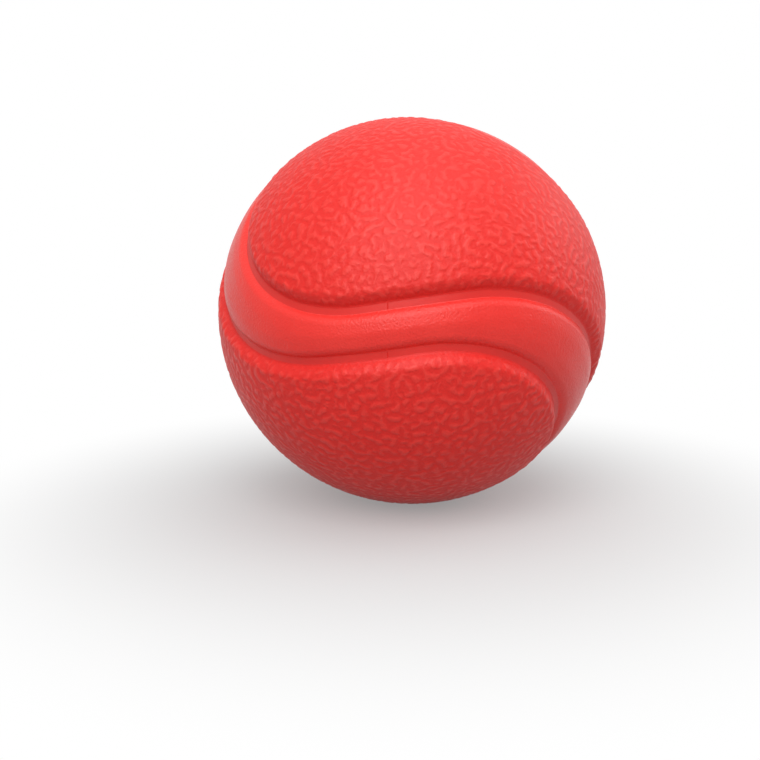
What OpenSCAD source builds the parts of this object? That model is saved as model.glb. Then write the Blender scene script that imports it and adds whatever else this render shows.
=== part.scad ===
// Rubber play ball for dogs: a hollow two-half core under two grained cover panels,
// with a smooth raised rib in the channel between the panels.
// The origin is the centre of the ball, +Z is up, and the core halves meet at x = 0.
// Each cover panel is a dog-bone that wraps the ball, as on a tennis ball.

/* [Ball] */
// Outside diameter, over the cover panels
ball_d = 50; // [44:1:72]
// Wall thickness of the core halves
core_wall = 7; // [6:0.5:10]
// Height of the cover panels above the core, which is the depth of the channel
panel_t = 1; // [0.8:0.1:1.6]
// Height of the seam band above the core
band_t = 0.8; // [0.5:0.1:1.5]
// Height and width of the slope that softens the edges of the panels and the band
soft_edge = 0.4; // [0.2:0.05:0.4]

/* [Seam] */
// Angle from the middle of a panel's round end out to its edge, in degrees
end_angle = 38.5; // [37.5:0.5:39.5]
// Angle from the middle of a panel's side curve out to its edge, in degrees
side_angle = 52; // [50:0.5:52.5]
// How far past the ball's waist plane the middle of a round end lies, in degrees
end_shift = 11; // [9:0.5:13]
// How far past the ball's waist plane the middle of a panel's side curve lies, in degrees
side_shift = 20; // [17:0.5:22]
// Width of the bare channel floor on each side of the band
floor_w = 1; // [0.6:0.05:1.2]

/* [Core joint] */
// Radial width of the ring tongue that joins the core halves
tongue_w = 2; // [1.5:0.1:2.5]
// Length of the ring tongue past the joint plane
tongue_h = 2; // [1:0.1:3]
// Room for cement at the bottom of the tongue's groove
cement_gap = 0.2; // [0.1:0.05:0.4]

/* [Hidden] */
$fn = 96;

ball_r = ball_d / 2;
core_r = ball_r - panel_t;
band_r = core_r + band_t;
hollow_r = core_r - core_wall;
tongue_r = (core_r + hollow_r) / 2;

// The cutting shapes reach well past the ball
far = 2 * ball_d;
cut_over = 1;
// Steps in each of the four arcs of a panel's edge, and points in an arc and in the whole edge
arc_steps = 28;
arc_points = arc_steps + 1;
edge_points = 4 * arc_points;

// Angle between the middle of a round end and the middle of the side curve beside it
centre_angle = acos(-sin(end_shift) * sin(side_shift));
// Half the sweep of a round end's arc and of a side curve's arc, out to the straight stretch between
end_sweep = acos(-cos(end_shift) * sin(side_shift) / sin(centre_angle))
    - straight_turn(end_angle, side_angle);
side_sweep = acos(-cos(side_shift) * sin(end_shift) / sin(centre_angle))
    - straight_turn(side_angle, end_angle);
// Angle from the middle of a round end out to the band's foot
band_angle = end_angle + core_degrees(floor_w);
// The sloping part of a cut is twice as high and wide as the slope, so it passes the surface
slope_h = 2 * soft_edge;
slope_angle = core_degrees(slope_h);

red = [0.9, 0.24, 0.22];
deep_red = [0.75, 0.17, 0.16];

// Angle at the ball's centre that a length on the core's surface takes up
function core_degrees(length) = length / core_r * 180 / PI;

// Turn about an arc's middle, from the direction of the next arc's middle back to the point where
// the arc runs out into the straight stretch that touches both arcs
function straight_turn(own, next) =
    acos((sin(next) + sin(own) * cos(centre_angle)) / (cos(own) * sin(centre_angle)));

// A dog-bone has its waist on +Z and its round ends towards +X and -X.
// Direction of a point on the arc of a round end, by its turn from the tip
function end_point(edge, side, turn) =
    cos(edge) * [side * cos(end_shift), 0, -sin(end_shift)]
    + sin(edge) * [-side * sin(end_shift) * cos(turn), sin(turn), -cos(end_shift) * cos(turn)];

// Direction of a point on the arc of a side curve, by its turn from the waist
function side_point(edge, side, turn) =
    let (reach = side_angle + end_angle - edge)
    cos(reach) * [0, side * cos(side_shift), sin(side_shift)]
    + sin(reach) * [sin(turn), -side * sin(side_shift) * cos(turn), cos(side_shift) * cos(turn)];

// The whole edge as directions: four arcs, with a straight stretch from each one to the next
function outline(edge) =
    let (shares = [for (i = [0 : arc_steps]) 1 - 2 * i / arc_steps])
    [
        for (s = shares) end_point(edge, 1, -s * end_sweep),
        for (s = shares) side_point(edge, 1, s * side_sweep),
        for (s = shares) end_point(edge, -1, s * end_sweep),
        for (s = shares) side_point(edge, -1, -s * side_sweep)
    ];

// Directions along the middle of a dog-bone, from one round end over the waist to the other
function spine() =
    [for (i = [0 : arc_steps])
        let (turn = (90 + end_shift) * (1 - 2 * i / arc_steps))
        [sin(turn), 0, cos(turn)]];

// Places of a dog-bone's points in its list: the ball's centre is first, then three rings, then the spine
function ring(n) = [for (i = [0 : edge_points]) 1 + n * edge_points + i % edge_points];
function spine_row() = [for (i = [0 : arc_steps]) 1 + 3 * edge_points + i];

// One arc of the outermost ring, with so many more points of the ring at each of its ends
function top_arc(n, more) =
    [for (i = [-more : arc_steps + more]) ring(2)[(n * arc_points + i + edge_points) % edge_points]];

// Triangles that join rows of points, and a row to one point
function reverse(row) = [for (i = [len(row) - 1 : -1 : 0]) row[i]];
function fan(tip, row) = [for (i = [0 : len(row) - 2]) [tip, row[i + 1], row[i]]];
function strip(low, high) =
    [for (i = [0 : len(low) - 2])
        each [[low[i], high[i], low[i + 1]], [low[i + 1], high[i], high[i + 1]]]];

// Everything within a dog-bone, as seen from the ball's centre. Its wall is radial out to bend_r,
// and leans by the angle lean over the height of the slope beyond.
module dog_bone(edge, bend_r, lean) {
    polyhedron(
        points = concat(
            [[0, 0, 0]],
            bend_r * outline(edge),
            (bend_r + slope_h) * outline(edge + lean),
            far * outline(edge + lean),
            far * spine()
        ),
        faces = concat(
            fan(0, reverse(ring(0))),
            strip(ring(0), ring(1)),
            strip(ring(1), ring(2)),
            fan(spine_row()[0], top_arc(0, 1)),
            strip(top_arc(1, 0), spine_row()),
            fan(spine_row()[arc_steps], top_arc(2, 1)),
            strip(top_arc(3, 0), reverse(spine_row()))
        )
    );
}

// The two panels are alike: the upper one's waist is on +X, the lower one's on -X
module upper_place() {
    rotate([225, 0, 0]) rotate([0, 90, 0]) children();
}

module lower_place() {
    rotate([135, 0, 0]) rotate([0, -90, 0]) children();
}

module shell(inner, outer) {
    difference() {
        sphere(outer);
        sphere(inner);
    }
}

module cover_panel() {
    intersection() {
        shell(core_r, ball_r);
        dog_bone(end_angle, ball_r - soft_edge, -slope_angle);
    }
}

// Half of the hollow core: side = -1 is the left half, 1 the right
module core_half(side) {
    difference() {
        shell(hollow_r, core_r);
        translate([side > 0 ? -far : 0, -far, -far]) cube([far, 2 * far, 2 * far]);
    }
}

// Ring about the X axis that starts under the joint plane and ends at the given length past it
module joint_ring(under, length) {
    translate([-under, 0, 0])
        rotate([0, 90, 0])
            difference() {
                cylinder(r = tongue_r + tongue_w / 2, h = under + length);
                translate([0, 0, -cut_over])
                    cylinder(r = tongue_r - tongue_w / 2, h = under + length + 2 * cut_over);
            }
}

module core_half_left() {
    color(red) {
        core_half(-1);
        joint_ring(cut_over, tongue_h);
    }
}

module core_half_right() {
    color(red)
        difference() {
            core_half(1);
            joint_ring(cut_over, tongue_h + cement_gap);
        }
}

module upper_cover_panel() {
    color(red) upper_place() cover_panel();
}

module lower_cover_panel() {
    color(deep_red) lower_place() cover_panel();
}

module seam_band() {
    color(red)
        difference() {
            rotate([0, 90, 0]) shell(core_r, band_r);
            upper_place() dog_bone(band_angle, band_r - soft_edge, slope_angle);
            lower_place() dog_bone(band_angle, band_r - soft_edge, slope_angle);
        }
}

core_half_left();
core_half_right();
upper_cover_panel();
lower_cover_panel();
seam_band();
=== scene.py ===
import math

import bmesh
import bpy
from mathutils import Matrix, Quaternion, Vector


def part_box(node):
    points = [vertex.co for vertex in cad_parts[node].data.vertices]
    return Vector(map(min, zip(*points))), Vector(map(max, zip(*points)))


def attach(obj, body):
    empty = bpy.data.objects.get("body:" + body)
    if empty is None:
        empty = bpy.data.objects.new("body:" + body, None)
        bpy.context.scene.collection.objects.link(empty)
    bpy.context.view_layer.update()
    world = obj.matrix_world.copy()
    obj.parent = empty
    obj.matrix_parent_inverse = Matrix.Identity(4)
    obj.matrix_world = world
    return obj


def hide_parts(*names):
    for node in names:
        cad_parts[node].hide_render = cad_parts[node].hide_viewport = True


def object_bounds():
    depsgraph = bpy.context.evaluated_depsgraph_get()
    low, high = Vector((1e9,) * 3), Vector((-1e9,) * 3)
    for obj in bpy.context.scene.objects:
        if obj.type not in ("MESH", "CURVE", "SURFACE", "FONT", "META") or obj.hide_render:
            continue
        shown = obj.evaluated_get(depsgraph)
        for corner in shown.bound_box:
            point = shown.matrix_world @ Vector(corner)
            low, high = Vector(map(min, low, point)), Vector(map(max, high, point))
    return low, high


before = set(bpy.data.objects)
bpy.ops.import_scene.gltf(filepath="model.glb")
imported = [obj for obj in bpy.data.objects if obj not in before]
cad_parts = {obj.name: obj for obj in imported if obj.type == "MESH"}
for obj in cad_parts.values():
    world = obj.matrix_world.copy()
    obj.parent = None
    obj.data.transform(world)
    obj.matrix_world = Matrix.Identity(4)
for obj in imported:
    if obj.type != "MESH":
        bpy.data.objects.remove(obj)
cad_low, cad_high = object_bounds()

# Core halves
# Two thick half shells of moulded red rubber, cemented rim to rim, with a ring tongue on the left
# half that sits in a groove in the right half. Only the floor of the channel between the cover
# panels shows, with a fine line across it where the eased rims meet.
MM = 0.001
core_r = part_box("core_half_right")[1].x
core_wall = 7 * MM
hollow_r = core_r - core_wall
tongue_r = (core_r + hollow_r) / 2
tongue_w = 2 * MM
tongue_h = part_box("core_half_left")[1].x
cement_gap = 0.2 * MM
rim_ease = 0.06 * MM
shell_steps = 72
hollow_steps = 36
shell_segments = 288
pole_r = MM / 1000
sharp_turn = math.radians(40)


def put(tree, kind, inputs=None, **settings):
    """Adds a node. Settings are its own choices, inputs are values or links, by socket name or place."""
    made = tree.nodes.new(kind)
    for name, value in settings.items():
        setattr(made, name, value)
    for key, value in (inputs or {}).items():
        if isinstance(value, bpy.types.NodeSocket):
            tree.links.new(value, made.inputs[key])
        else:
            made.inputs[key].default_value = value
    return made


def open_group(name, kind, takes, gives):
    """A new node group with named sockets, what it takes, and the places for what it gives."""
    tree = bpy.data.node_groups.new(name, kind)
    for way, sockets in (("INPUT", takes), ("OUTPUT", gives)):
        for socket, sort in sockets.items():
            tree.interface.new_socket(socket, in_out=way, socket_type="NodeSocket" + sort)
    return tree, put(tree, "NodeGroupInput").outputs, put(tree, "NodeGroupOutput").inputs


def formula(tree):
    """Two functions that add sums to a tree: one for numbers and one for vectors."""

    def number(operation, *values):
        return put(tree, "ShaderNodeMath", dict(enumerate(values)), operation=operation).outputs[0]

    def vector(operation, *values):
        places = (0, 3) if operation == "SCALE" else range(3)
        made = put(tree, "ShaderNodeVectorMath", dict(zip(places, values)), operation=operation)
        return made.outputs["Value" if operation in ("DOT_PRODUCT", "LENGTH") else "Vector"]

    return number, vector


def srgb(red, green, blue):
    """A colour written as it looks on a screen, from 0 to 255, as the shader's linear one."""
    shares = [value / 255 for value in (red, green, blue)]
    return tuple(s / 12.92 if s <= 0.04045 else ((s + 0.055) / 1.055) ** 2.4 for s in shares) + (1,)


# Moulded rubber is never one even red: pigment gathers in slow patches. They turn from red to deep
# red between a low and a high level of the noise.
pigment_low = 0.35
pigment_high = 0.7
rubber_tone, given, result = open_group(
    "Rubber Tone", "ShaderNodeTree",
    {"Red": "Color", "Deep Red": "Color", "Patch Size": "Float"}, {"Color": "Color"})
number, vector = formula(rubber_tone)
place = put(rubber_tone, "ShaderNodeTexCoord").outputs["Object"]
patches = put(rubber_tone, "ShaderNodeTexNoise", {
    "Vector": place, "Scale": number("DIVIDE", 1.0, given["Patch Size"]), "Detail": 3.0, "Roughness": 0.6})
share = put(rubber_tone, "ShaderNodeMapRange", {
    "Value": patches.outputs["Fac"], "From Min": pigment_low, "From Max": pigment_high})
tone = put(rubber_tone, "ShaderNodeMix", {
    0: share.outputs["Result"], 6: given["Red"], 7: given["Deep Red"]}, data_type="RGBA")
rubber_tone.links.new(tone.outputs[2], result["Color"])

# The skin off a blasted steel mould: a fine satin unevenness in roughness and height. High specks
# are rubbed smooth, between a low and a high level of the noise.
speck_low = 0.3
speck_high = 0.7
rubber_shine = 0.36
satin_skin, given, result = open_group(
    "Satin Skin", "ShaderNodeTree",
    {"Speck Size": "Float", "Smoothest": "Float", "Roughest": "Float"},
    {"Roughness": "Float", "Height": "Float"})
number, vector = formula(satin_skin)
place = put(satin_skin, "ShaderNodeTexCoord").outputs["Object"]
specks = put(satin_skin, "ShaderNodeTexNoise", {
    "Vector": place, "Scale": number("DIVIDE", 1.0, given["Speck Size"]), "Detail": 2.0})
roughness = put(satin_skin, "ShaderNodeMapRange", {
    "Value": specks.outputs["Fac"], "From Min": speck_low, "From Max": speck_high,
    "To Min": given["Roughest"], "To Max": given["Smoothest"]})
satin_skin.links.new(roughness.outputs["Result"], result["Roughness"])
satin_skin.links.new(specks.outputs["Fac"], result["Height"])


def rubber(name, red, deep_red, patch_size, speck_size, roughness, bump):
    """A red rubber finish, with the roughness of its skin as a range and the skin's height as the bump."""
    material = bpy.data.materials.new(name)
    material.use_nodes = True
    tree = material.node_tree
    shader = tree.nodes["Principled BSDF"]
    tone = put(tree, "ShaderNodeGroup", {
        "Red": red, "Deep Red": deep_red, "Patch Size": patch_size}, node_tree=rubber_tone)
    skin = put(tree, "ShaderNodeGroup", {
        "Speck Size": speck_size, "Smoothest": roughness[0], "Roughest": roughness[1]},
        node_tree=satin_skin)
    relief = put(tree, "ShaderNodeBump", {
        "Strength": 1.0, "Distance": bump, "Height": skin.outputs["Height"]}, name="Skin Relief")
    tree.links.new(tone.outputs["Color"], shader.inputs["Base Color"])
    tree.links.new(skin.outputs["Roughness"], shader.inputs["Roughness"])
    tree.links.new(relief.outputs["Normal"], shader.inputs["Normal"])
    shader.inputs["Specular IOR Level"].default_value = rubber_shine
    return material


# Painted shade: the core's red is set a little darker than the panels' and the band's, for the shade down
# in the channel, as the channel floor is all of the core that shows.
core_rubber = rubber(
    "core_rubber", red=srgb(228, 50, 43), deep_red=srgb(221, 43, 37),
    patch_size=9 * MM, speck_size=0.3 * MM, roughness=(0.34, 0.46), bump=0.01 * MM)


def arc(radius, side, start, stop, steps):
    """Points (x, distance from the X axis) on a circle about the centre, by angle from the pole."""
    angles = [math.radians(start + (stop - start) * i / steps) for i in range(steps + 1)]
    return [(side * radius * math.cos(a), radius * math.sin(a)) for a in angles]


def turned(name, profile):
    """A closed mesh of a profile turned about the X axis, with a pole at each of its two ends."""
    angles = [math.tau * i / shell_segments for i in range(shell_segments)]
    work = bmesh.new()
    rows = []
    for x, radius in profile:
        if radius < pole_r:
            rows.append([work.verts.new((x, 0, 0))] * shell_segments)
        else:
            rows.append([work.verts.new((x, radius * math.cos(a), radius * math.sin(a))) for a in angles])
    for low, high in zip(rows, rows[1:]):
        for i in range(shell_segments):
            corners = (low[i], low[i - 1], high[i - 1], high[i])
            work.faces.new(dict.fromkeys(corners))
    bmesh.ops.recalc_face_normals(work, faces=work.faces)
    mesh = bpy.data.meshes.new(name)
    work.to_mesh(mesh)
    work.free()
    mesh.shade_smooth()
    mesh.set_sharp_from_angle(angle=sharp_turn)
    return mesh


def add_piece(name, mesh, node):
    """Puts a finished mesh in the scene as the piece that stands for a CAD node."""
    piece = bpy.data.objects.new(name, mesh)
    bpy.context.scene.collection.objects.link(piece)
    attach(piece, "root")
    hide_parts(node)


rim_angle = 90 - math.degrees(rim_ease / core_r)
tongue_out = tongue_r + tongue_w / 2
tongue_in = tongue_r - tongue_w / 2
for side, name, step in ((-1, "left", tongue_h), (1, "right", tongue_h + cement_gap)):
    joint = [
        (0, core_r - rim_ease), (0, tongue_out), (step, tongue_out), (step, tongue_in), (0, tongue_in)]
    outside = arc(core_r, side, 0, rim_angle, shell_steps)
    hollow = arc(hollow_r, side, 90, 0, hollow_steps)
    half = turned(f"core_half_{name}_shell", outside + joint + hollow)
    half.materials.append(core_rubber)
    add_piece(f"core_half_{name}_shell", half, f"core_half_{name}")

# Cover panels
# Two like dog-bones of red rubber, moulded with a worm grain and bonded to the core a quarter
# turn apart, as the covers of a tennis ball are. Their edges are rounded and meet the core in
# a small fillet, and the grain runs out on the rounding.
ball_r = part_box("upper_cover_panel")[1].x
panel_h = ball_r - core_r
end_angle = math.radians(38.5)
side_angle = math.radians(52)
end_shift = math.radians(11)
side_shift = math.radians(20)
panel_waist = {"upper": (1, 0, 0), "lower": (-1, 0, 0)}
panel_end = {"upper": (0, -1, 1), "lower": (0, -1, -1)}
panel_rim = 1.6 * MM
panel_bend = 2.1
panel_turn = 0.9
panel_foot = 0.08 * MM
rim_rows = 10
foot_rows = 4
bury = 0.04 * MM
under_inset = 1.0 * MM
sheet_steps = 8
under_steps = 6
grain_size = 1.1 * MM
grain_depth = 0.066 * MM
grain_relief = 0.017 * MM
grain_start = -0.1 * MM
grain_full = 0.7 * MM
grain_seed = {"upper": 1, "lower": 2}
# Painted shade: the deeper red painted into the furrows of the grain, where shade falls
furrow_shade_red = srgb(230, 39, 32)
furrow_roughness = 0.52

# How far a point on the ball lies outside a dog-bone's edge, as an angle at the centre, and the
# axis of the part of the edge that is nearest: the arc of a round end, the arc of a side curve or
# the straight stretch between them, which is an arc of 90 degrees. The axes are given by their
# parts along the end, across and along the waist for one quarter, and the others mirror it.
SEAM = {
    "End Axis": "Vector", "Side Axis": "Vector", "Straight Axis": "Vector",
    "End Angle": "Float", "Side Angle": "Float"}
EDGE = {"Distance": "Float", "Axis": "Vector", "Axis Angle": "Float", "Outward": "Float"}
dog_bone, given, result = open_group(
    "Dog Bone", "GeometryNodeTree", {"Waist": "Vector", "End": "Vector"} | SEAM, EDGE)
number, vector = formula(dog_bone)
direction = vector("NORMALIZE", put(dog_bone, "GeometryNodeInputPosition").outputs["Position"])
waist, end = (vector("NORMALIZE", given[name]) for name in ("Waist", "End"))
across = vector("CROSS_PRODUCT", waist, end)
x, y, z = (vector("DOT_PRODUCT", direction, axis) for axis in (end, across, waist))
quarter = put(dog_bone, "ShaderNodeCombineXYZ", {
    0: number("ABSOLUTE", x), 1: number("ABSOLUTE", y), 2: z}).outputs[0]
signed_end = vector("SCALE", end, number("SIGN", x))
signed_across = vector("SCALE", across, number("SIGN", y))


def edge_part(axis, angle, outward):
    """What the edge gives near the part of it that has this axis, angle and way out."""
    off = number("SUBTRACT", number("ARCCOSINE", vector("DOT_PRODUCT", quarter, axis)), angle)
    shares = put(dog_bone, "ShaderNodeSeparateXYZ", {"Vector": axis}).outputs
    mirrored = vector("SCALE", waist, shares["Z"])
    for line, share in ((signed_end, shares["X"]), (signed_across, shares["Y"])):
        mirrored = vector("ADD", mirrored, vector("SCALE", line, share))
    return {
        "Distance": number("MULTIPLY", off, outward), "Axis": mirrored,
        "Axis Angle": angle, "Outward": outward}


def choose(tree, name, switch, off, on):
    """One of two values that an edge gives under this name, by a switch."""
    picked = put(tree, "GeometryNodeSwitch", {
        "Switch": switch, "False": off, "True": on}, input_type=EDGE[name].upper())
    return picked.outputs[0]


def beyond(first, second):
    """1 on one side of the plane through two axes, the side that their cross product points to."""
    square = vector("CROSS_PRODUCT", first, second)
    return number("GREATER_THAN", vector("DOT_PRODUCT", quarter, square), 0.0)


at_end = edge_part(given["End Axis"], given["End Angle"], 1.0)
at_straight = edge_part(given["Straight Axis"], math.pi / 2, -1.0)
at_side = edge_part(given["Side Axis"], given["Side Angle"], -1.0)
by_end = beyond(given["Straight Axis"], given["End Axis"])
by_side = beyond(given["Side Axis"], given["Straight Axis"])
for name in EDGE:
    inner = choose(dog_bone, name, by_side, at_straight[name], at_side[name])
    dog_bone.links.new(choose(dog_bone, name, by_end, inner, at_end[name]), result[name])


def seam_sizes(outside):
    """Values for a dog-bone's edge at an angle outside of the cover panels' own edge."""
    end_radius = end_angle + outside
    side_radius = side_angle - outside
    end_axis = Vector((math.cos(end_shift), 0, -math.sin(end_shift)))
    side_axis = Vector((0, math.cos(side_shift), math.sin(side_shift)))
    lean = end_axis.dot(side_axis)
    from_end = -math.sin(end_radius) - lean * math.sin(side_radius)
    from_side = math.sin(side_radius) + lean * math.sin(end_radius)
    flat = (from_end * end_axis + from_side * side_axis) / (1 - lean ** 2)
    square = side_axis.cross(end_axis).normalized()
    return {
        "End Axis": end_axis, "Side Axis": side_axis, "End Angle": end_radius, "Side Angle": side_radius,
        "Straight Axis": flat + square * math.sqrt(1 - flat.length_squared)}


# A point's direction once it is moved square to the edge, to a given angle outside of it
BESIDE = {name: EDGE[name] for name in ("Axis", "Axis Angle", "Outward")}
beside_edge, given, result = open_group(
    "Beside Edge", "GeometryNodeTree", BESIDE | {"Angle": "Float"}, {"Direction": "Vector"})
number, vector = formula(beside_edge)
direction = vector("NORMALIZE", put(beside_edge, "GeometryNodeInputPosition").outputs["Position"])
along = vector("SCALE", given["Axis"], vector("DOT_PRODUCT", direction, given["Axis"]))
away = vector("NORMALIZE", vector("SUBTRACT", direction, along))
turn = number("MULTIPLY_ADD", given["Outward"], given["Angle"], given["Axis Angle"])
moved = vector(
    "ADD", vector("SCALE", given["Axis"], number("COSINE", turn)),
    vector("SCALE", away, number("SINE", turn)))
beside_edge.links.new(moved, result["Direction"])


def beside(tree, given, angle):
    """The direction beside the edge that a tree is given, at an angle outside of it."""
    links = {name: given[name] for name in BESIDE} | {"Angle": angle}
    return put(tree, "GeometryNodeGroup", links, node_tree=beside_edge).outputs["Direction"]


# The part of a fine ball of unit radius that lies inside an edge, trimmed exactly at the edge:
# points within about half a triangle of it are moved onto it, what is still outside is cut away,
# and so is a triangle with all its corners on the edge
ico_edge = math.atan(2)
snap_share = 0.62
outside_share = 0.5
touch_share = 0.02
all_corners = 0.99
cut_sheet, given, result = open_group(
    "Cut Sheet", "GeometryNodeTree", {"Steps": "Int", "Start": "Float"} | EDGE, {"Mesh": "Geometry"})
number, vector = formula(cut_sheet)
ball = put(cut_sheet, "GeometryNodeMeshIcoSphere", {"Radius": 1.0, "Subdivisions": given["Steps"]})
snap = number("DIVIDE", 2 * snap_share * ico_edge, number("POWER", 2.0, given["Steps"]))
off = number("SUBTRACT", given["Distance"], given["Start"])
snapped = put(cut_sheet, "GeometryNodeSetPosition", {
    "Geometry": ball.outputs["Mesh"],
    "Selection": number("LESS_THAN", number("ABSOLUTE", off), snap),
    "Position": beside(cut_sheet, given, given["Start"])})
inside = put(cut_sheet, "GeometryNodeDeleteGeometry", {
    "Geometry": snapped.outputs[0],
    "Selection": number("GREATER_THAN", off, number("MULTIPLY", snap, outside_share))}, domain="POINT")
on_edge = number("LESS_THAN", number("ABSOLUTE", off), number("MULTIPLY", snap, touch_share))
by_point = put(cut_sheet, "GeometryNodeFieldOnDomain", {
    "Value": on_edge}, domain="POINT", data_type="FLOAT")
trimmed = put(cut_sheet, "GeometryNodeDeleteGeometry", {
    "Geometry": inside.outputs[0],
    "Selection": number("GREATER_THAN", by_point.outputs[0], all_corners)}, domain="FACE")
cut_sheet.links.new(trimmed.outputs[0], result["Mesh"])

# A sheet of rubber with a soft rim, and an underside that is buried in the core. The rim goes
# down to the core's surface by a list of points: shares of its width and of the sheet's height.
# Each point's height over the core and its distance inside the edge are kept as attributes.
PROFILE = {name: "Float" for name in (
    "Core Radius", "Height", "Rim Width", "Rim Outside", "Bury", "Under Inset")}
COUNTS = {"Steps": "Int", "Under Steps": "Int"}


def sheet_group(name, curve):
    """A node group that makes such a sheet, for a rim of the given shape."""
    tree, given, result = open_group(
        name, "GeometryNodeTree", COUNTS | PROFILE | EDGE, {"Mesh": "Geometry"})
    number, vector = formula(tree)

    def angle_of(length):
        return number("DIVIDE", length, given["Core Radius"])

    def cut(steps, start):
        links = {name: given[name] for name in EDGE} | {"Steps": steps, "Start": start}
        return put(tree, "GeometryNodeGroup", links, node_tree=cut_sheet).outputs["Mesh"]

    def noted(mesh, name, value, selection=True):
        return put(tree, "GeometryNodeStoreNamedAttribute", {
            "Geometry": mesh, "Selection": selection, "Name": name, "Value": value},
            data_type="FLOAT", domain="POINT").outputs["Geometry"]

    inner = number("SUBTRACT", given["Rim Outside"], given["Rim Width"])
    buried = number("MULTIPLY", given["Bury"], -1.0)
    rows = []
    for across, up in curve:
        outside = number("MULTIPLY_ADD", given["Rim Width"], across, inner)
        rows.append((outside, number("MULTIPLY", given["Height"], up)))
    rows.append((number("ADD", given["Rim Outside"], given["Bury"]), buried))
    sheet = noted(cut(given["Steps"], angle_of(inner)), "height", given["Height"])
    faces_beside = put(tree, "GeometryNodeInputMeshEdgeNeighbors").outputs["Face Count"]
    rim = number("LESS_THAN", faces_beside, 2.0)
    for outside, height in rows:
        grown = put(tree, "GeometryNodeExtrudeMesh", {
            "Mesh": sheet, "Selection": rim, "Offset Scale": 0.0}, mode="EDGES")
        rim = grown.outputs["Top"]
        placed = put(tree, "GeometryNodeSetPosition", {
            "Geometry": grown.outputs["Mesh"], "Selection": rim,
            "Position": beside(tree, given, angle_of(outside))})
        sheet = noted(placed.outputs["Geometry"], "height", height, rim)
    under = cut(given["Under Steps"], angle_of(number("MULTIPLY", given["Under Inset"], -1.0)))
    turned_over = put(tree, "GeometryNodeFlipFaces", {"Mesh": under}).outputs["Mesh"]
    both = put(tree, "GeometryNodeJoinGeometry")
    for part in (noted(turned_over, "height", buried), sheet):
        tree.links.new(part, both.inputs["Geometry"])
    inward = number("MULTIPLY", number("MULTIPLY", given["Distance"], -1.0), given["Core Radius"])
    tree.links.new(noted(both.outputs["Geometry"], "edge", inward), result["Mesh"])
    return tree


def soft_rim(bend, turn):
    """A rim that goes down by the power bend of the way out, and past the share turn ends in a fillet."""
    left = 1 - turn ** bend
    fillet = 2 * left / (bend * turn ** (bend - 1))
    width = turn + fillet
    over = [turn * i / rim_rows for i in range(1, rim_rows + 1)]
    foot = [i / foot_rows for i in range(1, foot_rows + 1)]
    return [(t / width, 1 - t ** bend) for t in over] + [
        ((turn + fillet * t) / width, left * (1 - t) ** 2) for t in foot]


panel_sheet = sheet_group("Panel Sheet", soft_rim(panel_bend, panel_turn))


def finish_tree(tree, mesh, given, result, height):
    """Ends a piece's tree: each point goes out to its height, and the piece gets its material."""
    number, vector = formula(tree)
    direction = vector("NORMALIZE", put(tree, "GeometryNodeInputPosition").outputs["Position"])
    radius = number("ADD", given["Core Radius"], height)
    shaped = put(tree, "GeometryNodeSetPosition", {
        "Geometry": mesh, "Position": vector("SCALE", direction, radius)})
    smooth = put(tree, "GeometryNodeSetShadeSmooth", {"Geometry": shaped.outputs[0]})
    real = put(tree, "GeometryNodeRealizeInstances", {"Geometry": smooth.outputs[0]})
    dressed = put(tree, "GeometryNodeSetMaterial", {
        "Geometry": real.outputs[0], "Material": given["Material"]})
    tree.links.new(dressed.outputs[0], result["Geometry"])


# Two layers of waves on a chart that drifts a little: the first gives the ridges, and the second
# cuts them into short worms. A layer has its spacing, the heights of its wave at which a ridge
# starts and is full, and its shift.
grain_layers = ((1.0, 0.0, 0.9, 0.0), (1.25, 0.05, 0.5, 0.05))
cut_share = 0.9
drift_scale = 0.45
drift_push = 0.9
wave_scale = 0.55
wave_frequency = 1.8


def worm_grain(tree, chart, size):
    """Short winding ridges, a given size apart, on a flat chart: 1 on a ridge and 0 in a furrow."""
    number, vector = formula(tree)
    drift = put(tree, "ShaderNodeTexNoise", {
        "Vector": chart, "Scale": number("DIVIDE", drift_scale, size), "Detail": 2.0})
    push = number("MULTIPLY", size, drift_push)
    pushed = put(tree, "ShaderNodeCombineXYZ", {0: push, 1: push}).outputs[0]
    swing = vector("SUBTRACT", drift.outputs["Color"], (0.5, 0.5, 0.5))
    bent = vector("MULTIPLY_ADD", swing, pushed, chart)
    shares = []
    for spacing, low, high, shift in grain_layers:
        waves = put(tree, "ShaderNodeTexGabor", {
            "Vector": vector("ADD", bent, (shift, 0.0, 0.0)),
            "Scale": number("DIVIDE", wave_scale / spacing, size),
            "Frequency": wave_frequency, "Anisotropy": 0.0}, gabor_type="2D")
        swell = number("COSINE", number("MULTIPLY", waves.outputs["Phase"], math.tau))
        shares.append(put(tree, "ShaderNodeMapRange", {
            "Value": number("MULTIPLY_ADD", swell, -0.5, 0.5), "From Min": low, "From Max": high},
            interpolation_type="SMOOTHSTEP").outputs["Result"])
    ridges, cuts = shares
    return number("MULTIPLY", ridges, number("MULTIPLY_ADD", cuts, cut_share, 1 - cut_share))


GRAIN = {name: "Float" for name in ("Grain Size", "Grain Depth", "Grain Start", "Grain Full")}
GRAIN["Grain Seed"] = "Int"
cover_panel, given, result = open_group(
    "Cover Panel", "GeometryNodeTree",
    {"Waist": "Vector", "End": "Vector"} | SEAM | COUNTS | PROFILE | GRAIN | {"Material": "Material"},
    {"Geometry": "Geometry"})
number, vector = formula(cover_panel)
links = {name: given[name] for name in ("Waist", "End", *SEAM)}
edge = put(cover_panel, "GeometryNodeGroup", links, node_tree=dog_bone).outputs
links = {name: given[name] for name in (*COUNTS, *PROFILE)} | {name: edge[name] for name in EDGE}
mesh = put(cover_panel, "GeometryNodeGroup", links, node_tree=panel_sheet).outputs["Mesh"]


def kept(tree, name, sort="FLOAT"):
    """An attribute that is kept at each point of a moulded sheet."""
    return put(tree, "GeometryNodeInputNamedAttribute", {"Name": name}, data_type=sort).outputs["Attribute"]


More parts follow.
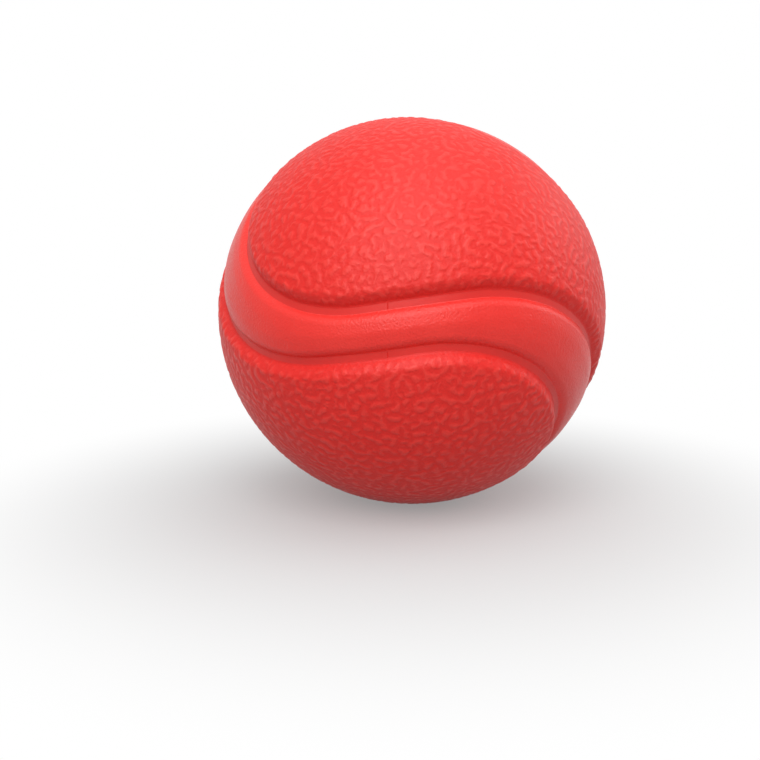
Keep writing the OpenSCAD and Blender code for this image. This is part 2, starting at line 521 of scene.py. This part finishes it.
# The grain is laid out on a flat chart of the panel, which runs along the dog-bone over its
# waist and across it, and is kept at each point for the skin's own relief as well
chart_squeeze = math.cos(math.radians(25))
seed_step = 0.2
direction = vector("NORMALIZE", put(cover_panel, "GeometryNodeInputPosition").outputs["Position"])
waist, end = (vector("NORMALIZE", given[name]) for name in ("Waist", "End"))
across = vector("CROSS_PRODUCT", waist, end)
x, y, z = (vector("DOT_PRODUCT", direction, axis) for axis in (end, across, waist))
surface = number("ADD", given["Core Radius"], given["Height"])
chart_x = number("MULTIPLY", number("MULTIPLY", number("ARCTAN2", x, z), surface), chart_squeeze)
chart_y = number("MULTIPLY", number("ARCSINE", y), surface)
chart = put(cover_panel, "ShaderNodeCombineXYZ", {
    0: number("MULTIPLY_ADD", given["Grain Seed"], seed_step, chart_x), 1: chart_y}).outputs[0]
charted = put(cover_panel, "GeometryNodeStoreNamedAttribute", {
    "Geometry": mesh, "Name": "chart", "Value": chart},
    data_type="FLOAT_VECTOR", domain="POINT").outputs["Geometry"]
ridge = worm_grain(cover_panel, kept(cover_panel, "chart", "FLOAT_VECTOR"), given["Grain Size"])
furrow = number("SUBTRACT", 1.0, ridge)
fade = put(cover_panel, "ShaderNodeMapRange", {
    "Value": kept(cover_panel, "edge"), "From Min": given["Grain Start"], "From Max": given["Grain Full"]},
    interpolation_type="SMOOTHSTEP")
topside = number("GREATER_THAN", kept(cover_panel, "height"), 0.0)
dip = number("MULTIPLY", number("MULTIPLY", furrow, given["Grain Depth"]),
             number("MULTIPLY", fade.outputs["Result"], topside))
finish_tree(cover_panel, charted, given, result, number("SUBTRACT", kept(cover_panel, "height"), dip))


def made_by(tree, values):
    """The plain mesh that a geometry tree makes from values given by the names of its inputs."""
    holder = bpy.data.objects.new(tree.name, bpy.data.meshes.new(tree.name))
    bpy.context.scene.collection.objects.link(holder)
    modifier = holder.modifiers.new(tree.name, "NODES")
    modifier.node_group = tree
    for socket in tree.interface.items_tree:
        if socket.in_out == "INPUT":
            modifier[socket.identifier] = values[socket.name]
    graph = bpy.context.evaluated_depsgraph_get()
    mesh = bpy.data.meshes.new_from_object(holder.evaluated_get(graph), depsgraph=graph)
    bpy.data.objects.remove(holder)
    return mesh


def closed(mesh):
    """Bridges the buried foot of a moulded sheet to its underside, so that the piece is closed."""
    work = bmesh.new()
    work.from_mesh(mesh)
    side = work.verts.layers.float.get("side")
    for sign in (1, -1) if side else (1,):
        rims = [e for e in work.edges if e.is_boundary and (not side or e.verts[0][side] * sign > 0)]
        bmesh.ops.bridge_loops(work, edges=rims)
    bmesh.ops.recalc_face_normals(work, faces=work.faces)
    work.to_mesh(mesh)
    work.free()
    mesh.shade_smooth()
    return mesh


# In the panels' rubber the ridges are smoother than the furrows, and a finer relief of the same grain goes
# over the mesh's own. The furrows are painted a deeper red than the ridges, as painted shade in the creases
# of the grain.
panel_rubber = rubber(
    "panel_rubber", red=srgb(240, 58, 50), deep_red=srgb(234, 50, 42),
    patch_size=8 * MM, speck_size=0.34 * MM, roughness=(0.38, 0.5), bump=0.07 * MM)
tree = panel_rubber.node_tree
shader = tree.nodes["Principled BSDF"]
number, vector = formula(tree)
chart = put(tree, "ShaderNodeAttribute", attribute_name="chart").outputs["Vector"]
edge = put(tree, "ShaderNodeAttribute", attribute_name="edge").outputs["Fac"]
fade = put(tree, "ShaderNodeMapRange", {
    "Value": edge, "From Min": grain_start, "From Max": grain_full}, interpolation_type="SMOOTHSTEP")
ridge = number("MULTIPLY", worm_grain(tree, chart, grain_size), fade.outputs["Result"])
grain = put(tree, "ShaderNodeBump", {"Strength": 1.0, "Distance": grain_relief, "Height": ridge})
tree.links.new(grain.outputs["Normal"], tree.nodes["Skin Relief"].inputs["Normal"])
roughness = shader.inputs["Roughness"].links[0].from_socket
rubbed = put(tree, "ShaderNodeMix", {0: ridge, 2: furrow_roughness, 3: roughness}, data_type="FLOAT")
tree.links.new(rubbed.outputs[0], shader.inputs["Roughness"])
# Painted shade: the furrows take the deeper furrow red, so the ridges look paler than them
tone = shader.inputs["Base Color"].links[0].from_socket
furrow_shaded_tone = put(tree, "ShaderNodeMix", {0: ridge, 6: furrow_shade_red, 7: tone}, data_type="RGBA")
tree.links.new(furrow_shaded_tone.outputs[2], shader.inputs["Base Color"])

sheet_sizes = {
    "Steps": sheet_steps, "Under Steps": under_steps, "Core Radius": core_r,
    "Bury": bury, "Under Inset": under_inset}
panel_sizes = seam_sizes(0) | sheet_sizes | {
    "Height": panel_h, "Rim Width": panel_rim, "Rim Outside": panel_foot,
    "Grain Size": grain_size, "Grain Depth": grain_depth,
    "Grain Start": grain_start, "Grain Full": grain_full, "Material": panel_rubber}
for which in ("upper", "lower"):
    place = {"Waist": panel_waist[which], "End": panel_end[which], "Grain Seed": grain_seed[which]}
    mesh = closed(made_by(cover_panel, panel_sizes | place))
    mesh.name = f"{which}_panel_grained"
    add_piece(f"{which}_panel_grained", mesh, f"{which}_cover_panel")

# Seam band
# A smooth raised rib of red rubber, bonded to the floor of the channel between the panels. It
# runs once round the ball, is widest in the bends, and has round shoulders and a slight crown.
band_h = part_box("seam_band")[1].y - core_r
floor_w = 1.0 * MM
band_rim = 1.1 * MM
band_bend = 2.2
band_turn = 0.94
band_foot = 0.2 * MM
band_crown = 0.22 * MM
crown_reach = 2.4 * MM
band_rubber = rubber(
    "band_rubber", red=srgb(243, 56, 48), deep_red=srgb(238, 49, 42),
    patch_size=8 * MM, speck_size=0.24 * MM, roughness=(0.28, 0.44), bump=0.07 * MM)
band_sheet = sheet_group("Band Sheet", soft_rim(band_bend, band_turn))

# The band is what lies outside of both dog-bones, so at each point the nearer of the two edges
# counts, turned the other way out
SIDES = {f"{which} {name}": "Vector" for which in ("Upper", "Lower") for name in ("Waist", "End")}
CROWN = {"Crown": "Float", "Crown Reach": "Float"}
seam_band, given, result = open_group(
    "Seam Band", "GeometryNodeTree",
    SIDES | SEAM | COUNTS | PROFILE | CROWN | {"Material": "Material"}, {"Geometry": "Geometry"})
number, vector = formula(seam_band)
edges = []
for which in ("Upper", "Lower"):
    links = {name: given[name] for name in SEAM}
    links |= {name: given[f"{which} {name}"] for name in ("Waist", "End")}
    edges.append(put(seam_band, "GeometryNodeGroup", links, node_tree=dog_bone).outputs)
upper_edge, lower_edge = edges
by_lower = number("GREATER_THAN", upper_edge["Distance"], lower_edge["Distance"])
links = {name: choose(seam_band, name, by_lower, upper_edge[name], lower_edge[name]) for name in EDGE}
for name in ("Distance", "Outward"):
    links[name] = number("MULTIPLY", links[name], -1.0)
links |= {name: given[name] for name in (*COUNTS, *PROFILE)}
mesh = put(seam_band, "GeometryNodeGroup", links, node_tree=band_sheet).outputs["Mesh"]
sided = put(seam_band, "GeometryNodeStoreNamedAttribute", {
    "Geometry": mesh, "Name": "side", "Value": number("MULTIPLY_ADD", by_lower, -2.0, 1.0)},
    data_type="FLOAT", domain="POINT").outputs["Geometry"]
flat = put(seam_band, "ShaderNodeMapRange", {
    "Value": kept(seam_band, "edge"), "From Max": given["Crown Reach"]}, interpolation_type="SMOOTHSTEP")
sag = number("MULTIPLY", number("SUBTRACT", 1.0, flat.outputs["Result"]), given["Crown"])
share = number("DIVIDE", number("MAXIMUM", kept(seam_band, "height"), 0.0), given["Height"])
height = number("SUBTRACT", kept(seam_band, "height"), number("MULTIPLY", sag, share))
finish_tree(seam_band, sided, given, result, height)

band_sizes = seam_sizes(floor_w / core_r) | sheet_sizes | {
    "Height": band_h, "Rim Width": band_rim, "Rim Outside": band_foot,
    "Crown": band_crown, "Crown Reach": crown_reach, "Material": band_rubber,
    "Upper Waist": panel_waist["upper"], "Upper End": panel_end["upper"],
    "Lower Waist": panel_waist["lower"], "Lower End": panel_end["lower"]}
mesh = closed(made_by(seam_band, band_sizes))
mesh.name = "seam_band_rib"
add_piece("seam_band_rib", mesh, "seam_band")

# Floor
# A plain white surface that the ball rests on. Near the ball it is matt and takes the ball's real soft
# shadow, and it is also painted greyer there, a painted shadow patch that runs out into plain white.
floor_reach = 2.0
floor_grey = 0.4
floor_glow = 0.24
shadow_near = 0.018
shadow_far = 0.07
corners = [(-1, -1), (1, -1), (1, 1), (-1, 1)]
floor_mesh = bpy.data.meshes.new("floor")
floor_mesh.from_pydata([(x * floor_reach, y * floor_reach, cad_low.z) for x, y in corners], [], [range(4)])
floor = bpy.data.objects.new("floor", floor_mesh)
bpy.context.scene.collection.objects.link(floor)


def seen_directly(tree):
    """1 for rays that show a surface to the camera, also by way of a mirror or through glass."""
    number, vector = formula(tree)
    rays = put(tree, "ShaderNodeLightPath").outputs
    mirrored = number("MAXIMUM", rays["Is Glossy Ray"], rays["Is Transmission Ray"])
    return number("MAXIMUM", rays["Is Camera Ray"], mirrored)


floor_paint = bpy.data.materials.new("floor_paint")
floor_paint.use_nodes = True
tree = floor_paint.node_tree
tree.nodes.clear()
number, vector = formula(tree)
seen = seen_directly(tree)
reach = vector("LENGTH", put(tree, "ShaderNodeTexCoord").outputs["Object"])
# Painted shadow: from shadow_near to shadow_far round the ball the floor turns from the greyer matt patch
# to plain white
far = put(tree, "ShaderNodeMapRange", {
    "Value": reach, "From Min": shadow_near, "From Max": shadow_far},
    interpolation_type="SMOOTHSTEP").outputs["Result"]
matt = put(tree, "ShaderNodeBsdfDiffuse", {"Color": (floor_grey, floor_grey, floor_grey, 1)})
glow = put(tree, "ShaderNodeEmission", {
    "Color": (1, 1, 1, 1), "Strength": number("MULTIPLY", seen, floor_glow)})
both = put(tree, "ShaderNodeAddShader", {0: matt.outputs[0], 1: glow.outputs[0]})
white = put(tree, "ShaderNodeEmission", {"Color": (1, 1, 1, 1), "Strength": 1.0})
blend = put(tree, "ShaderNodeMixShader", {
    0: number("MULTIPLY", seen, far), 1: both.outputs[0], 2: white.outputs[0]})
put(tree, "ShaderNodeOutputMaterial", {"Surface": blend.outputs[0]})
floor_mesh.materials.append(floor_paint)

# Studio light
# Three broad soft lamps: a key lamp in front and above, a lamp overhead, and a weak one at the
# right and behind. The surround looks white and lights the ball dimly from all sides.
surround_level = 0.19
world = bpy.data.worlds.new("studio")
bpy.context.scene.world = world
world.use_nodes = True
tree = world.node_tree
number, vector = formula(tree)
surround = tree.nodes["Background"]
surround.inputs["Color"].default_value = (1, 1, 1, 1)
level = number("MULTIPLY_ADD", seen_directly(tree), 1 - surround_level, surround_level)
tree.links.new(level, surround.inputs["Strength"])


def soft_lamp(name, place, across, watts):
    """A round soft lamp that shines on the ball from its place."""
    lamp = bpy.data.lights.new(name, "AREA")
    lamp.shape = "DISK"
    lamp.size = across
    lamp.energy = watts
    holder = bpy.data.objects.new(name, lamp)
    holder.location = place
    holder.rotation_euler = (-Vector(place)).to_track_quat("-Z", "Y").to_euler()
    bpy.context.scene.collection.objects.link(holder)


soft_lamp("key", place=(-0.02, -0.43, 0.33), across=0.55, watts=2.5)
soft_lamp("top", place=(0.06, -0.12, 0.53), across=0.5, watts=1.0)
soft_lamp("side", place=(0.44, 0.16, 0.26), across=0.4, watts=0.6)

# Camera
# Close by and a little above the ball's middle, to the right of the joint of the core halves.
# The picture is a square, and the ball stands right of its middle and above it.
view_side = math.radians(6.2)
view_rise = math.radians(5.3)
view_roll = math.radians(0.2)
view_reach = 5 * ball_r
picture_px = 760
ball_px = (412, 310)
lens_px = 950
film_w = 36
nearest = 10 * MM
back = Vector((
    math.sin(view_side) * math.cos(view_rise), -math.cos(view_side) * math.cos(view_rise),
    math.sin(view_rise)))
camera = bpy.data.objects.new("camera", bpy.data.cameras.new("camera"))
camera.location = back * view_reach
aim = (-back).to_track_quat("-Z", "Y")
camera.rotation_euler = (aim @ Quaternion((0, 0, 1), view_roll)).to_euler()
camera.data.sensor_width = film_w
camera.data.lens = film_w * lens_px / picture_px
camera.data.shift_x = -(ball_px[0] - picture_px / 2) / picture_px
camera.data.shift_y = -(picture_px / 2 - ball_px[1]) / picture_px
camera.data.clip_start = nearest
bpy.context.scene.collection.objects.link(camera)
bpy.context.scene.camera = camera

bpy.context.scene.view_settings.view_transform = "Standard"
